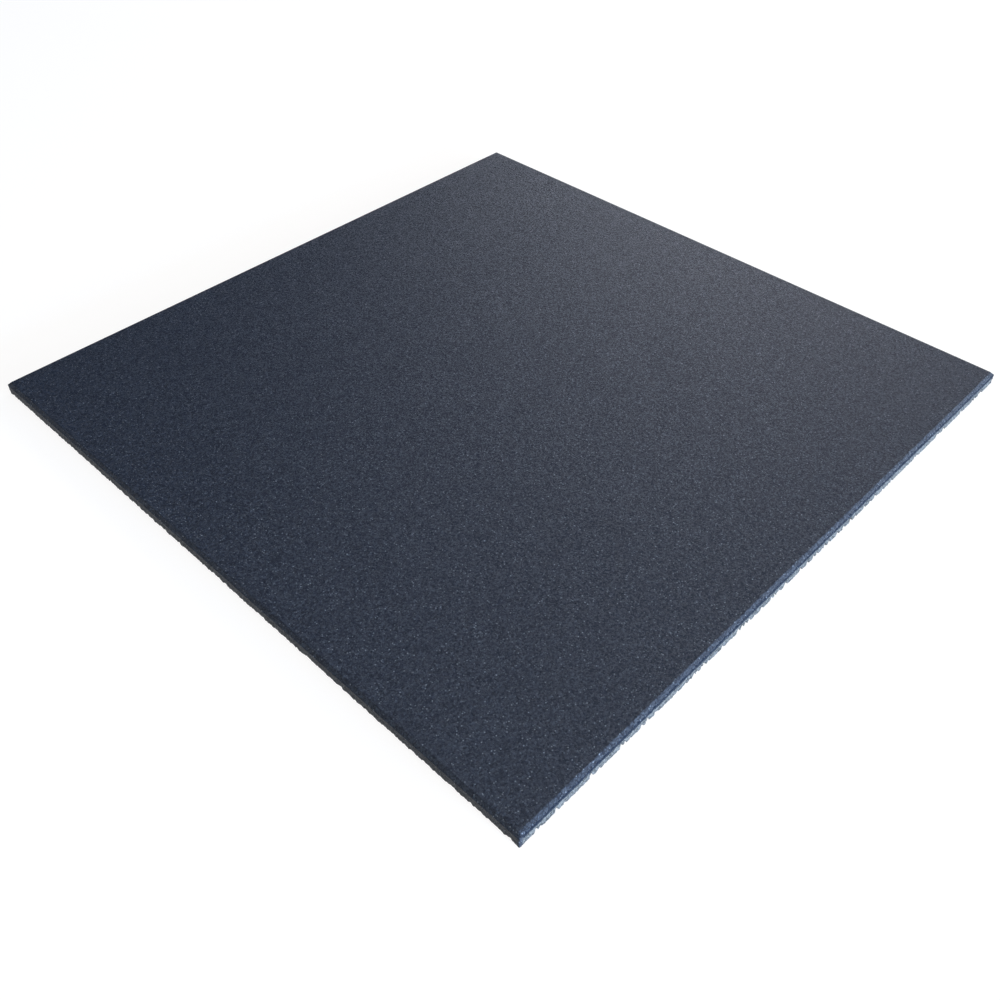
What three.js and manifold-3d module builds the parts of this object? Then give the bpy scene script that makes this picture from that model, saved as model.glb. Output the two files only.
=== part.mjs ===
// Rubber gym floor tile: one square slab pressed from bonded rubber crumb.
// Units are millimetres and +Z is up. The origin is the centre of the underside, so the tile
// lies on the plane z = 0 with its walking face up and its four straight sides along X and Y.

import * as THREE from 'three';
import { mergeVertices } from 'three/addons/utils/BufferGeometryUtils.js';
import Module from 'manifold-3d';

// Driving dimensions
const sideLength = 1000;      // length of each side of the square
const slabThickness = 20;     // underside to walking face
const bevelWidth = 4.5;       // how far the bevel reaches in over the walking face
const bevelHeight = 4.5;      // how far the bevel reaches down each side
const cornerRadius = 1.5;     // rounding of the four upright corners
const cornerFacets = 6;       // flats that make up each rounded corner

// Worked out from them
const halfLength = sideLength / 2;
const quarterTurn = Math.PI / 2;

// Bonded crumb, nearly black with a blue cast, pressed to a dull skin
const crumbRubber = new THREE.MeshStandardMaterial({
  color: '#383c47',
  roughness: 0.8,
  metalness: 0,
});

const wasm = await Module();
wasm.setup();

// A solid to cut, or to cut with, made from a closed three.js geometry.
function toSolid(geometry) {
  const bare = geometry.clone();
  bare.deleteAttribute('normal');
  bare.deleteAttribute('uv');
  const merged = mergeVertices(bare);
  const mesh = new wasm.Mesh({
    numProp: 3,
    vertProperties: merged.attributes.position.array,
    triVerts: merged.index.array,
  });
  return new wasm.Manifold(mesh);
}

// The three.js geometry of a finished solid.
function toGeometry(solid) {
  const { vertProperties, triVerts } = solid.getMesh();
  const geometry = new THREE.BufferGeometry();
  geometry.setAttribute('position', new THREE.BufferAttribute(vertProperties, 3));
  geometry.setIndex(new THREE.BufferAttribute(triVerts, 1));
  geometry.computeVertexNormals();
  return geometry;
}

// The full-height block: a square about the origin with rounded upright corners.
function blankSlab() {
  const outline = new THREE.Shape();
  const centre = new THREE.Vector2();
  for (let quarter = 0; quarter < 4; quarter += 1) {
    const start = quarter * quarterTurn;
    const arcCentre = new THREE.Vector2(halfLength - cornerRadius, halfLength - cornerRadius);
    arcCentre.rotateAround(centre, start);
    outline.absarc(arcCentre.x, arcCentre.y, cornerRadius, start, start + quarterTurn);
  }
  outline.closePath();
  return new THREE.ExtrudeGeometry(outline, {
    depth: slabThickness,
    bevelEnabled: false,
    curveSegments: cornerFacets / 2,    // an arc is drawn with two facets to a segment
  });
}

// The waste that leaves the bevel on the +X side: a three-cornered bar along Y. Its sloping
// face is the bevel, carried on by one more bevel at each end so that it comes out clear.
function bevelWaste() {
  const upperEdge = new THREE.Vector2(halfLength - bevelWidth, slabThickness);
  const lowerEdge = new THREE.Vector2(halfLength, slabThickness - bevelHeight);
  const slope = new THREE.Vector2().subVectors(lowerEdge, upperEdge);
  const start = upperEdge.clone().sub(slope);
  const end = lowerEdge.clone().add(slope);

  const section = new THREE.Shape();
  section.moveTo(start.x, start.y);
  section.lineTo(end.x, end.y);
  section.lineTo(end.x, start.y);
  section.closePath();

  const length = end.x * 2;
  const bar = new THREE.ExtrudeGeometry(section, { depth: length, bevelEnabled: false });
  bar.translate(0, 0, -length / 2);
  bar.rotateX(quarterTurn);
  return bar;
}

// The slab with the same bevel along all four upper edges, mitred where they meet.
function tileGeometry() {
  let solid = toSolid(blankSlab());
  for (let quarter = 0; quarter < 4; quarter += 1) {
    const waste = bevelWaste().rotateZ(quarter * quarterTurn);
    solid = solid.subtract(toSolid(waste));
  }
  return toGeometry(solid);
}

const tile = new THREE.Mesh(tileGeometry(), crumbRubber);
tile.name = 'tile';

const gymFloorTile = new THREE.Group();
gymFloorTile.add(tile);

export default gymFloorTile;
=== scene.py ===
import math

import bpy
from mathutils import Matrix, Vector


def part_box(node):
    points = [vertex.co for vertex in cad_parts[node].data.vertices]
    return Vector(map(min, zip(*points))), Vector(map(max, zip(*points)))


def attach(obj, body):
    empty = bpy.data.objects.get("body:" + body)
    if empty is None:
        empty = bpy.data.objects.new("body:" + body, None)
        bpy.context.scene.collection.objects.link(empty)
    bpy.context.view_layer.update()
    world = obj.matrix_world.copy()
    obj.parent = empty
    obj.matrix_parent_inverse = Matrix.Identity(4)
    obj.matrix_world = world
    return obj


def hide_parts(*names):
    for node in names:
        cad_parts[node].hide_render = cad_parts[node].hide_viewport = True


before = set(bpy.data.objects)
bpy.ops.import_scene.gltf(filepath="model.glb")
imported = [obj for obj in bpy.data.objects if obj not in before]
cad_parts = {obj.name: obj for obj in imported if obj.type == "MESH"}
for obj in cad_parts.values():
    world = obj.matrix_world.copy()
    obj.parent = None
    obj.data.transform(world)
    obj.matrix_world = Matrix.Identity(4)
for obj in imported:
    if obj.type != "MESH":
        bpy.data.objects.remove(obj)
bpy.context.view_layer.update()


# The camera
# It stands over the near corner of the tile, where two sides show, at about chest height, and
# looks a little short of the tile's middle.
CAMERA_PLACE = Vector((-0.8558, -0.8164, 0.9299))
CAMERA_HEADING = math.radians(43.92)
CAMERA_PITCH = math.radians(44.33)
CAMERA_ROLL = math.radians(0.08)
CAMERA_LENS = 37.32
SENSOR_WIDTH = 36.0
NEAREST_SEEN, FARTHEST_SEEN = 0.05, 50.0

camera_data = bpy.data.cameras.new("camera")
camera_data.sensor_width = SENSOR_WIDTH
camera_data.lens = CAMERA_LENS
camera_data.clip_start = NEAREST_SEEN
camera_data.clip_end = FARTHEST_SEEN
camera = bpy.data.objects.new("camera", camera_data)
bpy.context.scene.collection.objects.link(camera)
look = Vector((
    math.cos(CAMERA_PITCH) * math.cos(CAMERA_HEADING),
    math.cos(CAMERA_PITCH) * math.sin(CAMERA_HEADING),
    -math.sin(CAMERA_PITCH),
))
aim = look.to_track_quat("-Z", "Y").to_matrix().to_4x4()
camera.matrix_world = (
    Matrix.Translation(CAMERA_PLACE) @ aim @ Matrix.Rotation(CAMERA_ROLL, 4, "Z")
)
bpy.context.scene.camera = camera


# The pressed slab
# One piece of tyre crumb and binder, pressed hot in a flat mould. The mould gives the dull dark
# skin on top and the bevel round it; the sides are open crumb, and the lower edge has lost grains.
TILE_LOW, TILE_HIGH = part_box("tile")
HALF = (TILE_HIGH.x - TILE_LOW.x) / 2
TOP = TILE_HIGH.z
BEVEL = 0.0045
CORNER_RADIUS = 0.0015
CORNER_STEPS = 4
ARRIS_RADIUS = 0.0008
ARRIS_STEPS = 3
SIDE_CUTS = 27
ROW = 0.00125
WORN_HEIGHT = 0.0088
RIM_STEPS = (0.0015, 0.0035, 0.0065, 0.011)
TOP_CELLS = 40
UNDERSIDE_CELLS = 40


def pick_edges(piece, wanted):
    """Selects the edges whose two ends both pass a test on their place."""
    bpy.ops.mesh.select_all(action="DESELECT")
    bpy.ops.object.mode_set(mode="OBJECT")
    passes = [wanted(v.co) for v in piece.data.vertices]
    for e in piece.data.edges:
        e.select = passes[e.vertices[0]] and passes[e.vertices[1]]
    bpy.ops.object.mode_set(mode="EDIT")


def reach(place):
    """How far out from the middle a point lies, measured square to the nearest side."""
    return max(abs(place.x), abs(place.y))


def rounded(corner, start, end, radius, steps):
    """Points of the arc that rounds a profile's corner between two straight runs."""
    into, out = (corner - start).normalized(), (end - corner).normalized()
    half_turn = into.angle(out) / 2
    tangent = radius * math.tan(half_turn)
    first, last = corner - into * tangent, corner + out * tangent
    middle = corner + (out - into).normalized() * (radius / math.cos(half_turn))
    spokes = first - middle, last - middle
    return [
        middle + spokes[0].slerp(spokes[1], step / steps).normalized() * radius
        for step in range(steps + 1)
    ]


def carry_ring(profile):
    """Extrudes the selected ring of edges from one (reach, height) of a profile to the next."""
    for (old_reach, old_height), (new_reach, new_height) in zip(profile, profile[1:]):
        bpy.ops.mesh.extrude_edges_move(
            TRANSFORM_OT_translate={"value": (0, 0, new_height - old_height)}
        )
        scale = new_reach / old_reach
        bpy.ops.transform.resize(value=(scale, scale, 1), center_override=(0, 0, 0))


# The foot's outline with its rounded upright corners, each side divided, and each part of it
# once more.
bpy.ops.object.select_all(action="DESELECT")
bpy.ops.mesh.primitive_plane_add(size=2 * HALF, location=(0, 0, 0))
tile = bpy.context.object
tile.name = "pressed_tile"
bpy.ops.object.mode_set(mode="EDIT")
bpy.ops.mesh.select_mode(type="VERT")
bpy.ops.mesh.select_all(action="SELECT")
bpy.ops.mesh.bevel(offset=CORNER_RADIUS, segments=CORNER_STEPS, affect="VERTICES")
bpy.ops.mesh.delete(type="ONLY_FACE")
bpy.ops.mesh.select_mode(type="EDGE")
for _ in range(2):
    bpy.ops.mesh.select_all(action="DESELECT")
    bpy.ops.object.mode_set(mode="OBJECT")
    for e in tile.data.edges:
        a, b = (tile.data.vertices[i].co for i in e.vertices)
        e.select = (a - b).length > 2 * CORNER_RADIUS
    bpy.ops.object.mode_set(mode="EDIT")
    bpy.ops.mesh.subdivide(number_cuts=SIDE_CUTS)

# The outline is carried up the side, over the bevel and a little way in, with closer rows where
# the foot is worn, and then in under the tile.
shoulder = Vector((HALF, TOP - BEVEL))
brow = Vector((HALF - BEVEL, TOP))
foot = Vector((HALF, 0.0))
rim_end = Vector((HALF - BEVEL - RIM_STEPS[-1], TOP))
shoulder_arc = rounded(shoulder, foot, brow, ARRIS_RADIUS, ARRIS_STEPS)
brow_arc = rounded(brow, shoulder, rim_end, ARRIS_RADIUS, ARRIS_STEPS)
knee = Vector((HALF, WORN_HEIGHT))
outer_profile = []
for start, end, row_height in (
    (foot, knee, ROW),
    (knee, shoulder_arc[0], 2 * ROW),
    (shoulder_arc[-1], brow_arc[0], ROW),
):
    rows = round((end - start).length / row_height)
    outer_profile += [start.lerp(end, row / rows) for row in range(rows)]
    if end == shoulder_arc[0]:
        outer_profile += shoulder_arc[:-1]
outer_profile += brow_arc
outer_profile += [Vector((brow.x - step, TOP)) for step in (RIM_STEPS[0], RIM_STEPS[-1])]
bpy.ops.mesh.select_all(action="SELECT")
carry_ring(outer_profile)

under_profile = [foot] + [Vector((HALF - step, 0.0)) for step in RIM_STEPS]
pick_edges(tile, lambda place: place.z < ROW / 2)
carry_ring(under_profile)

# The middle of the top and of the underside is a coarser grid, filled in to the rings round it.
for profile, cells in ((outer_profile, TOP_CELLS), (under_profile, UNDERSIDE_CELLS)):
    edge = profile[-1]
    cell = 2 * edge.x / (cells + 2)
    bpy.ops.mesh.primitive_grid_add(
        x_subdivisions=cells, y_subdivisions=cells, size=2 * edge.x - 2 * cell,
        location=(0, 0, edge.y),
    )
    pick_edges(
        tile,
        lambda place: abs(place.z - edge.y) < ROW / 4
        and min(abs(reach(place) - edge.x), abs(reach(place) - edge.x + cell)) < ROW,
    )
    bpy.ops.mesh.fill(use_beauty=True)

bpy.ops.mesh.select_all(action="SELECT")
bpy.ops.mesh.normals_make_consistent(inside=False)
bpy.ops.object.mode_set(mode="OBJECT")

# How worn each point is: most on the lower arris, falling away up the side and in under the
# tile. The left side is rubbed away evenly, the right one has lost whole lumps, and the hidden
# sides are taken as something between. The upright corners kept most of their foot. The crumb
# is open on the sides, hardly so on the bevel, and closed on the top.
SKIN_LAP = 0.0037
CORNER_BLEND = 0.030
SOUND_CORNER = 0.014
CORNER_WEAR = 0.2
CLOSED_RIM = 0.0004
BEVEL_CRUMB = 0.2
LEFT_WEAR = Vector((0.85, 0.15))
RIGHT_WEAR = Vector((0.05, 1.0))
HIDDEN_WEAR = Vector((0.6, 0.7))
rubbed = tile.vertex_groups.new(name="rubbed_foot")
chipped = tile.vertex_groups.new(name="chipped_foot")
rough = tile.vertex_groups.new(name="open_crumb")
for v in tile.data.vertices:
    inset = HALF - reach(v.co)
    wear = 1 - v.co.z / WORN_HEIGHT - inset / RIM_STEPS[-1]
    if wear > 0:
        turned = min(1, max(0, 0.5 + (abs(v.co.x) - abs(v.co.y)) / CORNER_BLEND))
        on_y_side = RIGHT_WEAR if v.co.y < 0 else HIDDEN_WEAR
        on_x_side = LEFT_WEAR if v.co.x < 0 else HIDDEN_WEAR
        from_corner = HALF - min(abs(v.co.x), abs(v.co.y))
        wear *= min(1, CORNER_WEAR + from_corner / SOUND_CORNER)
        rub, chip = on_y_side.lerp(on_x_side, turned) * wear
        rubbed.add([v.index], rub, "REPLACE")
        chipped.add([v.index], chip, "REPLACE")
    if inset < BEVEL and v.co.z < TOP - CLOSED_RIM:
        below_bevel = max(0, TOP - BEVEL - v.co.z)
        rough.add([v.index], min(1, BEVEL_CRUMB + below_bevel / (2 * SKIN_LAP)), "REPLACE")


def carve(piece, pattern, group, direction, strength, level, columns=None):
    """Pushes points in or out by a pattern, which an empty may draw out into upright columns."""
    push = piece.modifiers.new(pattern.name, "DISPLACE")
    push.texture = pattern
    push.texture_coords = "OBJECT" if columns else "LOCAL"
    push.texture_coords_object = columns
    push.direction = direction
    push.vertex_group = group
    push.strength = strength
    push.mid_level = level
    bpy.ops.object.modifier_apply(modifier=push.name)


# The sides are lumpy with crumb. Along the foot, rubbing lifts the lower edge unevenly, and
# each lost lump is a bite into the side that also takes the edge away from below.
CRUMB_SIZE, CRUMB_DEPTH, CRUMB_LEVEL = 0.0031, 0.0009, 0.45
RUB_SIZE, RUB_HEIGHT = 0.0036, 0.0052
CHIP_SIZE, CHIP_DEPTH, CHIP_HEIGHT = 0.0070, 0.0032, 0.0073
CHIP_HEART, CHIP_RIM = 0.05, 0.45
COLUMN_STRETCH = 100.0
SMOOTH_ANGLE = math.radians(50)

uprights = bpy.data.objects.new("uprights", None)
uprights.scale.z = COLUMN_STRETCH
bpy.context.scene.collection.objects.link(uprights)
bpy.context.view_layer.update()

grains = bpy.data.textures.new("grains", "VORONOI")
grains.noise_scale = CRUMB_SIZE
carve(tile, grains, "open_crumb", "NORMAL", -CRUMB_DEPTH, CRUMB_LEVEL)

lost_arris = bpy.data.textures.new("lost_arris", "VORONOI")
lost_arris.noise_scale = RUB_SIZE
carve(tile, lost_arris, "rubbed_foot", "Z", RUB_HEIGHT, 0.0, uprights)

chips = bpy.data.textures.new("chips", "VORONOI")
chips.noise_scale = CHIP_SIZE
chips.use_color_ramp = True
chips.color_ramp.interpolation = "LINEAR"
chips.color_ramp.elements[0].position = CHIP_HEART
chips.color_ramp.elements[0].color = (1, 1, 1, 1)
chips.color_ramp.elements[1].position = CHIP_RIM
chips.color_ramp.elements[1].color = (0, 0, 0, 1)
carve(tile, chips, "chipped_foot", "NORMAL", -CHIP_DEPTH, 0.0, uprights)
carve(tile, chips, "chipped_foot", "Z", CHIP_HEIGHT, 0.0, uprights)
bpy.data.objects.remove(uprights)
tile.vertex_groups.clear()
bpy.ops.object.shade_smooth_by_angle(angle=SMOOTH_ANGLE)

# Colours, and the sizes of the rubber's grains and patches.
SKIN = (0.0050, 0.0082, 0.0180, 1)
SKIN_PALE = (0.0300, 0.0372, 0.0530, 1)
# The skin's colour where it laps onto the side under the bevel: near-black, as painted shade along
# the crease.
SKIN_LAP_PAINTED_SHADE = (0.0030, 0.0080, 0.0190, 1)
OPEN_CRUMB = (0.0300, 0.0312, 0.0318, 1)
OPEN_CRUMB_PALE = (0.1500, 0.1480, 0.1420, 1)
FLECK = (0.26, 0.29, 0.33, 1)
GRAIN = 0.0018
PATCH = 0.018
FINE_GRAIN = 0.0010
RUBBER_SPECULAR = 0.28

rubber = bpy.data.materials.new("crumb_rubber")
rubber.use_nodes = True
nodes = rubber.node_tree.nodes
links = rubber.node_tree.links
shader = nodes["Principled BSDF"]
shader.inputs["Metallic"].default_value = 0.0
shader.inputs["Specular IOR Level"].default_value = RUBBER_SPECULAR
place = nodes.new("ShaderNodeTexCoord").outputs["Object"]


def grain_cells(size, feature, name):
    """Voronoi cells of a given size in metres, cut through the whole thickness of the slab."""
    cells = nodes.new("ShaderNodeTexVoronoi")
    cells.name = name
    cells.feature = feature
    cells.inputs["Scale"].default_value = 1 / size
    links.new(place, cells.inputs["Vector"])
    return cells


def tones(cells):
    """Three tones between 0 and 1, Red, Green and Blue, picked at random for each cell."""
    split = nodes.new("ShaderNodeSeparateColor")
    links.new(cells.outputs["Color"], split.inputs["Color"])
    return split.outputs


def cloud(size, detail, name):
    """Soft noise with features of a given size in metres."""
    noise = nodes.new("ShaderNodeTexNoise")
    noise.name = name
    noise.inputs["Scale"].default_value = 1 / size
    noise.inputs["Detail"].default_value = detail
    links.new(place, noise.inputs["Vector"])
    return noise.outputs["Fac"]


def remap(value, low, high, to_low, to_high, smooth=False):
    """Turns one range of a value into another, held at both ends."""
    node = nodes.new("ShaderNodeMapRange")
    if smooth:
        node.interpolation_type = "SMOOTHSTEP"
    for socket, number in zip(node.inputs[1:5], (low, high, to_low, to_high)):
        socket.default_value = number
    links.new(value, node.inputs["Value"])
    return node.outputs["Result"]


def between(share, at_none, at_full):
    """A number that goes from one value to another as a share goes from 0 to 1."""
    return remap(share, 0.0, 1.0, at_none, at_full)


def combine(first, second, operation):
    """One arithmetic step on two values, the second of which may be a plain number."""
    node = nodes.new("ShaderNodeMath")
    node.operation = operation
    links.new(first, node.inputs[0])
    if isinstance(second, float):
        node.inputs[1].default_value = second
    else:
        links.new(second, node.inputs[1])
    return node.outputs["Value"]


def add_layers(value, *layers):
    """Adds (layer, weight) pairs to a value, one after another."""
    for layer, weight in layers:
        value = combine(value, combine(layer, weight, "MULTIPLY"), "ADD")
    return value


def vector_step(vector, operation):
    """One arithmetic step on a vector, given as a node whose other input is still to be set."""
    node = nodes.new("ShaderNodeVectorMath")
    node.operation = operation
    links.new(vector, node.inputs[0])
    return node


def blend(share, low, high):
    """Mixes two colours, each a socket or four numbers, by a share."""
    node = nodes.new("ShaderNodeMix")
    node.data_type = "RGBA"
    links.new(share, node.inputs["Factor"])
    for socket, colour in ((node.inputs[6], low), (node.inputs[7], high)):
        if isinstance(colour, tuple):
            socket.default_value = colour
        else:
            links.new(colour, socket)
    return node.outputs[2]


# Which grain a point belongs to, and how near it is to the join with the next one.
JOIN_WIDTH = 0.18
grain = grain_cells(GRAIN, "F1", "grain")
grain_tones = tones(grain)
join = grain_cells(GRAIN, "DISTANCE_TO_EDGE", "join")
crevice = remap(join.outputs["Distance"], 0.0, JOIN_WIDTH, 0.0, 1.0, smooth=True)
patches = cloud(PATCH, 3.0, "patches")
fine = cloud(FINE_GRAIN, 1.0, "fine")

# Where the skin ends on the side, along a ragged line, and it closes the upright corners. On
# the left side its dark colour comes further down and over most of the crumb below: painted shade.
RAGGED_SIZE, RAGGED_REACH = 0.004, 0.0009
CLOUD_LOW, CLOUD_HIGH = 0.3, 0.7
LEFT_STRIP, LEFT_STRIP_END = 0.004, 0.006
LEFT_PAINTED_SHADE_DROP = 0.0026
LEFT_OPEN_SHADED = 0.30
SKIN_FOOT = TOP - BEVEL - SKIN_LAP
SKIN_FEATHER = 0.0003
CORNER_SQUARED = 2 * HALF * HALF
CLOSED_WITHIN, OPEN_BEYOND = 0.0030, 0.0050
axes = nodes.new("ShaderNodeSeparateXYZ")
links.new(place, axes.inputs["Vector"])
x, y, z = (axes.outputs[letter] for letter in "XYZ")
ragged_cloud = cloud(RAGGED_SIZE, 2.0, "ragged")
ragged = remap(ragged_cloud, CLOUD_LOW, CLOUD_HIGH, -RAGGED_REACH, RAGGED_REACH)
height = combine(z, ragged, "ADD")
# A strip along the left side, darkened as painted shade on the side away from the light.
shaded_left_side = remap(x, LEFT_STRIP - HALF, LEFT_STRIP_END - HALF, 1.0, 0.0)
bared = combine(height, combine(shaded_left_side, LEFT_PAINTED_SHADE_DROP, "MULTIPLY"), "SUBTRACT")
open_crumb = remap(bared, SKIN_FOOT - SKIN_FEATHER, SKIN_FOOT + SKIN_FEATHER, 1.0, 0.0, smooth=True)
from_middle = combine(combine(x, x, "MULTIPLY"), combine(y, y, "MULTIPLY"), "ADD")
off_corner = remap(
    from_middle, CORNER_SQUARED - OPEN_BEYOND, CORNER_SQUARED - CLOSED_WITHIN, 1.0, 0.0
)
open_crumb = combine(open_crumb, off_corner, "MULTIPLY")
open_crumb = combine(open_crumb, between(shaded_left_side, 1.0, LEFT_OPEN_SHADED), "MULTIPLY")

# The strip just under the bevel is the skin there, tinted near-black as painted shade along
# the crease below the bevel, fainter on the left. The slope is all that lies below the flat top.
LAP_FULL, LAP_NONE = 0.0002, 0.0011
LEFT_LAP_SHADE = 0.3
SLOPE_FULL, SLOPE_NONE = 0.0012, 0.0002
lap_painted_shade = remap(height, TOP - BEVEL + LAP_FULL, TOP - BEVEL + LAP_NONE, 1.0, 0.0, smooth=True)
lap_painted_shade = combine(lap_painted_shade, between(shaded_left_side, 1.0, LEFT_LAP_SHADE), "MULTIPLY")
slope = remap(height, TOP - SLOPE_FULL, TOP - SLOPE_NONE, 1.0, 0.0, smooth=True)

# The skin: grains pressed flat and smeared, each of its own tone. They differ more on the slope.
FINE_TONE, PATCH_TONE, JOIN_TONE = 0.8, 0.3, 0.4
MIDDLE_TONE, TONE_SPREAD = 1.35, 0.65
SLOPE_CONTRAST, SLOPE_PALER = 2.3, 0.26
smear = add_layers(
    grain_tones["Red"], (fine, FINE_TONE), (patches, PATCH_TONE), (crevice, JOIN_TONE)
)
contrast = combine(smear, MIDDLE_TONE, "SUBTRACT")
contrast = combine(contrast, between(slope, 1.0, SLOPE_CONTRAST), "MULTIPLY")
contrast = add_layers(contrast, (slope, SLOPE_PALER))
share = remap(contrast, -TONE_SPREAD, TONE_SPREAD, 0.0, 1.0)
skin_colour = blend(share, SKIN, SKIN_PALE)
# The strip under the bevel gets its painted shade here.
skin_colour = blend(lap_painted_shade, skin_colour, SKIN_LAP_PAINTED_SHADE)
crumb_colour = blend(share, OPEN_CRUMB, OPEN_CRUMB_PALE)
colour = blend(open_crumb, skin_colour, crumb_colour)

# Pale flecks: a few bigger grains of lighter rubber and many that hardly show. Each row gives
# the size of the cells, where a fleck starts and stops to fade in them, and the tone from which
# a cell has a fleck, with the strength of the strongest.
for size, heart, rim, picked_from, strongest, name in (
    (0.0070, 0.05, 0.14, 0.70, 0.80, "fleck"),
    (0.0027, 0.14, 0.38, 0.76, 0.60, "speck"),
):
    fleck_cell = grain_cells(size, "F1", name)
    fleck = remap(fleck_cell.outputs["Distance"], heart, rim, 1.0, 0.0)
    picked = remap(tones(fleck_cell)["Red"], picked_from, 1.0, 0.0, strongest)
    colour = blend(combine(fleck, picked, "MULTIPLY"), colour, FLECK)
links.new(colour, shader.inputs["Base Color"])

GLOSSIEST, DULLEST = 0.42, 0.62
LAP_DULLER = 0.45
dullness = between(grain_tones["Green"], GLOSSIEST, DULLEST)
dullness = add_layers(dullness, (lap_painted_shade, LAP_DULLER))
links.new(dullness, shader.inputs["Roughness"])

# Each grain lies a little tilted, more so on the slope.
TOP_TILT, SLOPE_TILT = 0.27, 0.60
lean = vector_step(grain.outputs["Color"], "SUBTRACT")
lean.inputs[1].default_value = (0.5, 0.5, 0.5)
tilt = vector_step(lean.outputs["Vector"], "SCALE")
links.new(between(slope, TOP_TILT, SLOPE_TILT), tilt.inputs["Scale"])
tilted = vector_step(tilt.outputs["Vector"], "ADD")
links.new(nodes.new("ShaderNodeNewGeometry").outputs["Normal"], tilted.inputs[1])
facet = vector_step(tilted.outputs["Vector"], "NORMALIZE")

# The rim of each grain is rounded down to the join, more so on the slope.
GRAIN_RISE, FINE_RISE = 0.7, 0.6
TOP_RELIEF, SLOPE_RELIEF, OPEN_RELIEF = 0.30, 0.90, 0.1
RELIEF_HEIGHT = 0.0005
relief = add_layers(crevice, (grain_tones["Blue"], GRAIN_RISE), (fine, FINE_RISE))
depth = add_layers(between(slope, TOP_RELIEF, SLOPE_RELIEF), (open_crumb, OPEN_RELIEF))
bump = nodes.new("ShaderNodeBump")
bump.inputs["Strength"].default_value = 1.0
bump.inputs["Distance"].default_value = RELIEF_HEIGHT
links.new(combine(relief, depth, "MULTIPLY"), bump.inputs["Height"])
links.new(facet.outputs["Vector"], bump.inputs["Normal"])
links.new(bump.outputs["Normal"], shader.inputs["Normal"])
tile.data.materials.append(rubber)

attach(tile, "root")
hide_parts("tile")


# The floor
# A pale studio floor on which the tile lies flat, far larger than the view. Most of its light
# comes up through it, so that it is nearly white and hardly shows a shadow.
FLOOR_SIZE = 60.0
FLOOR_GAP = 0.0002
FLOOR_COLOUR = (0.20, 0.20, 0.20, 1)
FLOOR_DULLNESS = 0.9
FLOOR_SPECULAR = 0.1
FLOOR_GLOW_COLOUR = (1.0, 0.99, 0.98, 1)
FLOOR_GLOW = 0.84
bpy.ops.object.select_all(action="DESELECT")
bpy.ops.mesh.primitive_plane_add(size=FLOOR_SIZE, location=(0, 0, -FLOOR_GAP))
floor = bpy.context.object
floor.name = "studio_floor"
pale = bpy.data.materials.new("pale_floor")
pale.use_nodes = True
pale_shader = pale.node_tree.nodes["Principled BSDF"]
pale_shader.inputs["Base Color"].default_value = FLOOR_COLOUR
pale_shader.inputs["Roughness"].default_value = FLOOR_DULLNESS
pale_shader.inputs["Specular IOR Level"].default_value = FLOOR_SPECULAR
pale_shader.inputs["Emission Color"].default_value = FLOOR_GLOW_COLOUR
pale_shader.inputs["Emission Strength"].default_value = FLOOR_GLOW
floor.data.materials.append(pale)


# The studio light
# The room glows faintly up from the horizon, before a pale backdrop that only the camera sees.
# Soft panels stand high behind the camera, on the left, and past the far side, where their dull
# reflection makes the sheen on the skin. A low panel and low daylight stand on the right.
HORIZON_GLOW = 0.35
GLOW_FOOT, GLOW_HEAD = 0.05, 0.30
BACKDROP_TONE = 0.62
world = bpy.data.worlds.new("room")
world.use_nodes = True
room = world.node_tree
background = room.nodes["Background"]
direction = room.nodes.new("ShaderNodeTexCoord").outputs["Generated"]
rise = room.nodes.new("ShaderNodeSeparateXYZ")
room.links.new(direction, rise.inputs["Vector"])
fade = room.nodes.new("ShaderNodeMapRange")
for socket, number in zip(fade.inputs[1:5], (GLOW_FOOT, GLOW_HEAD, HORIZON_GLOW, 0.0)):
    socket.default_value = number
room.links.new(rise.outputs["Z"], fade.inputs["Value"])
seen = room.nodes.new("ShaderNodeLightPath").outputs["Is Camera Ray"]
backdrop = room.nodes.new("ShaderNodeMath")
backdrop.operation = "MULTIPLY_ADD"
backdrop.inputs[1].default_value = BACKDROP_TONE
room.links.new(seen, backdrop.inputs[0])
room.links.new(fade.outputs["Result"], backdrop.inputs[2])
background.inputs["Color"].default_value = (1, 1, 1, 1)
room.links.new(backdrop.outputs["Value"], background.inputs["Strength"])
bpy.context.scene.world = world


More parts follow.
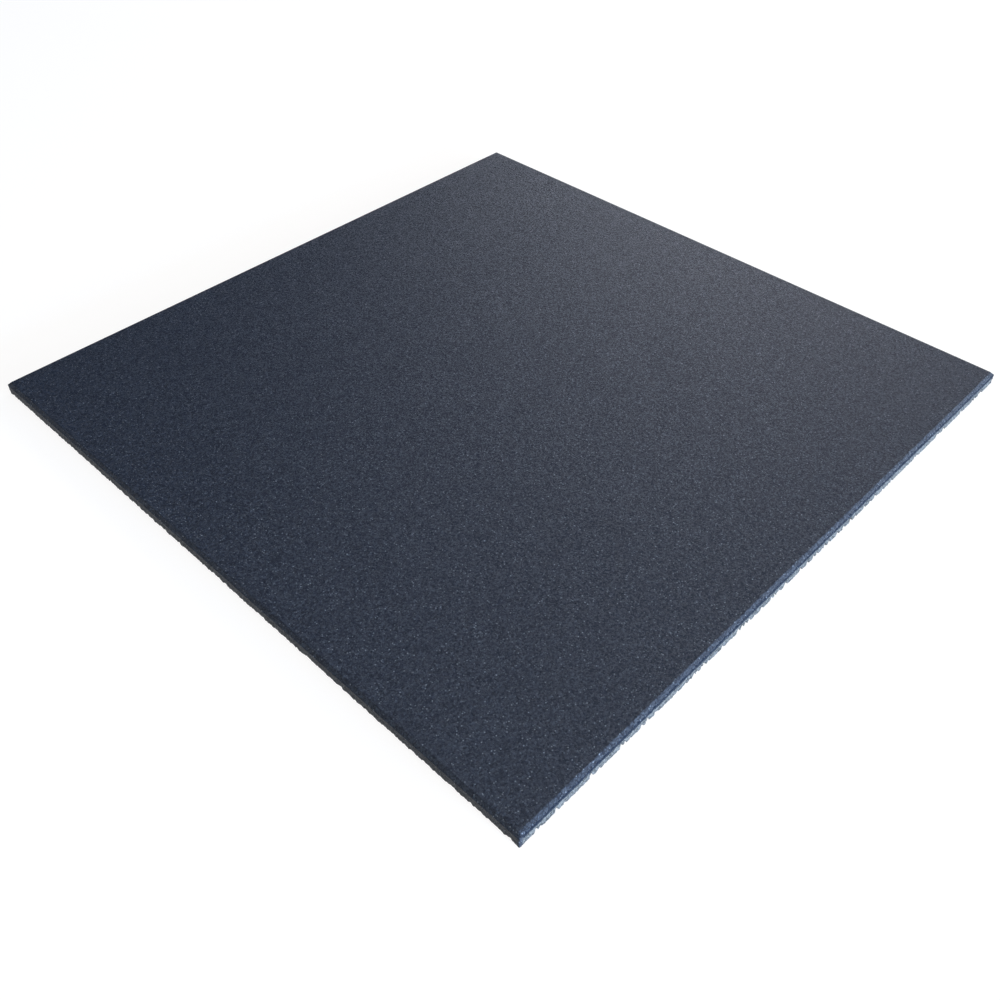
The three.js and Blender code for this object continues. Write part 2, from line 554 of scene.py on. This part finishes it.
def stand_lamp(lamp, heading, height, distance):
    """Puts a lamp at a heading and a height in degrees, facing the tile's middle."""
    stand = bpy.data.objects.new(lamp.name, lamp)
    bpy.context.scene.collection.objects.link(stand)
    across = math.cos(math.radians(height))
    towards = Vector((
        across * math.cos(math.radians(heading)),
        across * math.sin(math.radians(heading)),
        math.sin(math.radians(height)),
    ))
    turn = towards.to_track_quat("Z", "Y").to_matrix().to_4x4()
    stand.matrix_world = Matrix.Translation(towards * distance) @ turn


# Each row gives a panel's heading and height in degrees, its distance and size in metres, its
# power in watts and its colour.
for name, heading, lamp_height, distance, size, power, lamp_colour in (
    ("panel_behind_camera", 225, 60, 3.0, (3.0, 2.6), 62, (1.0, 1.0, 1.0)),
    ("panel_on_the_left", 180, 25, 3.4, (2.4, 0.9), 7.8, (0.6, 1.0, 1.5)),
    ("panel_past_far_side", 28, 20, 3.4, (2.0, 0.7), 35.4, (0.97, 1.0, 1.09)),
    ("panel_past_far_right", 10, 28, 3.4, (1.4, 0.9), 18.2, (1.08, 1.0, 1.02)),
    ("low_panel_on_the_right", -48, 14, 4.0, (3.0, 0.8), 118, (0.90, 1.0, 1.06)),
):
    lamp = bpy.data.lights.new(name, "AREA")
    lamp.shape = "RECTANGLE"
    lamp.size, lamp.size_y = size
    lamp.energy = power
    lamp.color = lamp_colour
    stand_lamp(lamp, heading, lamp_height, distance)

DAYLIGHT_HEADING, DAYLIGHT_HEIGHT, DAYLIGHT_DISTANCE = -85, 4.2, 3.0
DAYLIGHT_WIDTH = math.radians(12)
DAYLIGHT_STRENGTH = 10.1
DAYLIGHT_COLOUR = (0.72, 1.0, 1.40)
daylight = bpy.data.lights.new("daylight_on_right_side", "SUN")
daylight.angle = DAYLIGHT_WIDTH
daylight.energy = DAYLIGHT_STRENGTH
daylight.color = DAYLIGHT_COLOUR
stand_lamp(daylight, DAYLIGHT_HEADING, DAYLIGHT_HEIGHT, DAYLIGHT_DISTANCE)

bpy.context.scene.view_settings.view_transform = "Standard"
